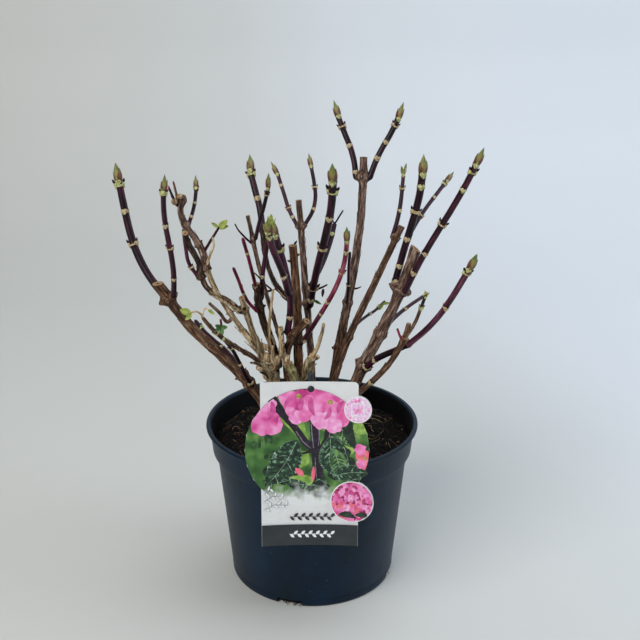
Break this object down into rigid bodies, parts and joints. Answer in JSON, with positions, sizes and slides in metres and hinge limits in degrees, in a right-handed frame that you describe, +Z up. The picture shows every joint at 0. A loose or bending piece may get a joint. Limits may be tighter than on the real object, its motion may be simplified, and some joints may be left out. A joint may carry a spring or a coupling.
{
  "type": "potted hydrangea shrub",
  "caption": "Bare winter hydrangea shrub with bud-tipped shoots, standing in a round plastic nursery pot of compost with a plant label on a stake.",
  "frame": {"origin": "centre of the pot's flat underside, on the pot's axis", "axes": "+Z up along the pot's axis, -Y towards the plant label at the front, +X to the right seen from the front"},
  "size_m": [0.3554, 0.254, 0.495],
  "materials": {
    "pot_plastic": "moulded, slightly glossy dark blue-black",
    "compost": "loose dark peat-like compost with reddish fibres",
    "label_card": "printed semi-gloss card",
    "stake_plastic": "smooth dark plastic",
    "old_bark": "dull, peeling, streaked brown bark",
    "young_bark": "smooth satin dark purple shoots with pale joints"
  },
  "bodies": {
    "root": {"pot": "pot_plastic", "compost": "compost", "label_card": "label_card", "label_stake": "stake_plastic", "cane_left_foot": "old_bark", "cane_far_left": "old_bark", "shoot_far_left": "young_bark", "shoot_left_front": "young_bark", "shoot_left_behind": "young_bark", "twig_left_black": "old_bark", "cane_left_low": "old_bark", "cane_left_middle": "old_bark", "cane_left_upper": "old_bark", "shoot_left_upper": "young_bark", "cane_left_olive": "old_bark", "cane_left_inner": "old_bark", "cane_left_dark": "old_bark", "shoot_left_slim": "young_bark", "cane_left_stub": "old_bark", "shoot_crimson": "young_bark", "shoot_black_tip": "young_bark", "shoot_left_inner": "young_bark", "cane_slim": "old_bark", "shoot_slim": "young_bark", "cane_centre_stub": "old_bark", "cane_back_left": "old_bark", "shoot_back_left": "young_bark", "stub_olive": "old_bark", "cane_crossing": "old_bark", "shoot_centre_left": "young_bark", "shoot_centre_front": "young_bark", "cane_centre": "old_bark", "shoot_fork_left": "young_bark", "shoot_fork_right": "young_bark", "shoot_centre_tall": "young_bark", "shoot_centre_back": "young_bark", "shoot_red": "young_bark", "stub_tan": "old_bark", "cane_tall": "old_bark", "shoot_top_left": "young_bark", "shoot_top_right": "young_bark", "twig_tall_cane": "old_bark", "cane_right_slim": "old_bark", "shoot_right_slim": "young_bark", "twig_right_curled": "old_bark", "cane_right_thick": "old_bark", "shoot_right_upright": "young_bark", "shoot_right_side": "young_bark", "shoot_far_right_tall": "young_bark", "cane_right_low": "old_bark", "shoot_far_right_low": "young_bark", "cane_right_front": "old_bark", "shoot_right_front": "young_bark", "twig_right_dark": "old_bark"}
  },
  "joints": []
}
